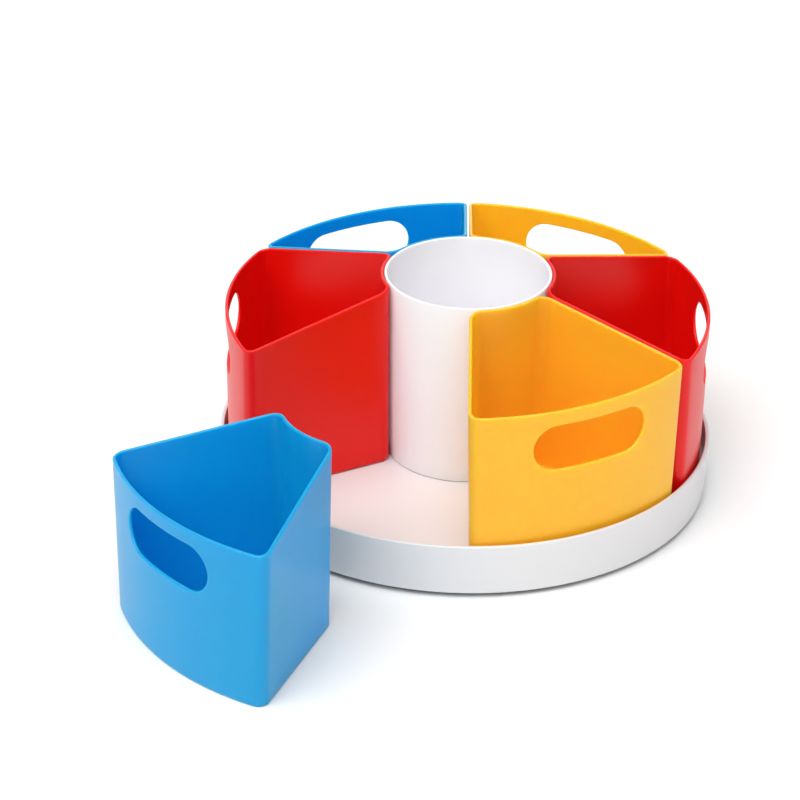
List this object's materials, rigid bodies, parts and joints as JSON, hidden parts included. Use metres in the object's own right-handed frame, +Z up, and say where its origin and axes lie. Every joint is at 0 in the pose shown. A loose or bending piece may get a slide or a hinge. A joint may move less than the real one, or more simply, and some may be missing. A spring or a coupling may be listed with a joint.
{
  "type": "rotating storage caddy",
  "caption": "Round turntable tray with a low rim, a tall centre cup and lift-out wedge-shaped bins with hand holes.",
  "frame": {"origin": "on the tray's turning axis, at the height of the surface that the feet stand on, directly under the flat underside of the base", "axes": "+Z up along the turning axis; +X through the middle of the right-hand red bin; the view in use comes from -Y"},
  "size_m": [0.3455, 0.4159, 0.1368],
  "materials": {
    "red": "smooth moulded, low gloss",
    "yellow": "smooth moulded, low gloss",
    "blue": "smooth moulded, low gloss",
    "white": "smooth moulded",
    "frosted": "milky translucent",
    "grey": "moulded",
    "cage_white": "moulded",
    "steel": "zinc plated",
    "ball_steel": "polished",
    "rubber": "matt"
  },
  "bodies": {
    "base": {"base_plate": "grey", "pivot_screw": "steel", "pivot_washer": "steel", "foot_1": "rubber", "foot_2": "rubber", "foot_3": "rubber", "foot_4": "rubber", "foot_5": "rubber", "foot_6": "rubber"},
    "race": {"ball_cage": "cage_white", "ball_1": "ball_steel", "ball_2": "ball_steel", "ball_3": "ball_steel", "ball_4": "ball_steel", "ball_5": "ball_steel", "ball_6": "ball_steel", "ball_7": "ball_steel", "ball_8": "ball_steel", "ball_9": "ball_steel", "ball_10": "ball_steel", "ball_11": "ball_steel", "ball_12": "ball_steel"},
    "turntable": {"tray": "white"},
    "cup": {"centre_cup": "frosted"},
    "bin_red_right_body": {"bin_red_right": "red"},
    "bin_yellow_back_body": {"bin_yellow_back": "yellow"},
    "bin_blue_back_body": {"bin_blue_back": "blue"},
    "bin_red_left_body": {"bin_red_left": "red"},
    "bin_yellow_front_body": {"bin_yellow_front": "yellow"},
    "bin_blue_front_body": {"bin_blue_front": "blue"}
  },
  "joints": [
    {"name": "tray_spin", "type": "hinge", "parent": "base", "child": "turntable", "pos_m": [0, 0, 0.01], "axis": [0, 0, 1], "continuous": true},
    {"name": "race_roll", "type": "hinge", "parent": "base", "child": "race", "pos_m": [0, 0, 0.01], "axis": [0, 0, 1], "continuous": true},
    {"name": "cup_lift", "type": "slide", "parent": "turntable", "child": "cup", "axis": [0, 0, 1], "range_m": [0, 0.12]},
    {"name": "bin_red_right_lift", "type": "slide", "parent": "turntable", "child": "bin_red_right_body", "axis": [0.0225, 0, 0.9997], "range_m": [0, 0.12]},
    {"name": "bin_yellow_back_lift", "type": "slide", "parent": "turntable", "child": "bin_yellow_back_body", "axis": [0.0112, 0.0195, 0.9997], "range_m": [0, 0.12]},
    {"name": "bin_blue_back_lift", "type": "slide", "parent": "turntable", "child": "bin_blue_back_body", "axis": [-0.0112, 0.0195, 0.9997], "range_m": [0, 0.12]},
    {"name": "bin_red_left_lift", "type": "slide", "parent": "turntable", "child": "bin_red_left_body", "axis": [-0.0225, 0, 0.9997], "range_m": [0, 0.12]},
    {"name": "bin_yellow_front_lift", "type": "slide", "parent": "turntable", "child": "bin_yellow_front_body", "axis": [0.0112, -0.0195, 0.9997], "range_m": [0, 0.12]},
    {"name": "bin_blue_front_lift", "type": "slide", "parent": "base", "child": "bin_blue_front_body", "axis": [0, 0, 1], "range_m": [0, 0.12]}
  ],
  "couplings": [
    {"joint": "race_roll", "follows": "tray_spin", "ratio": 0.5}
  ]
}
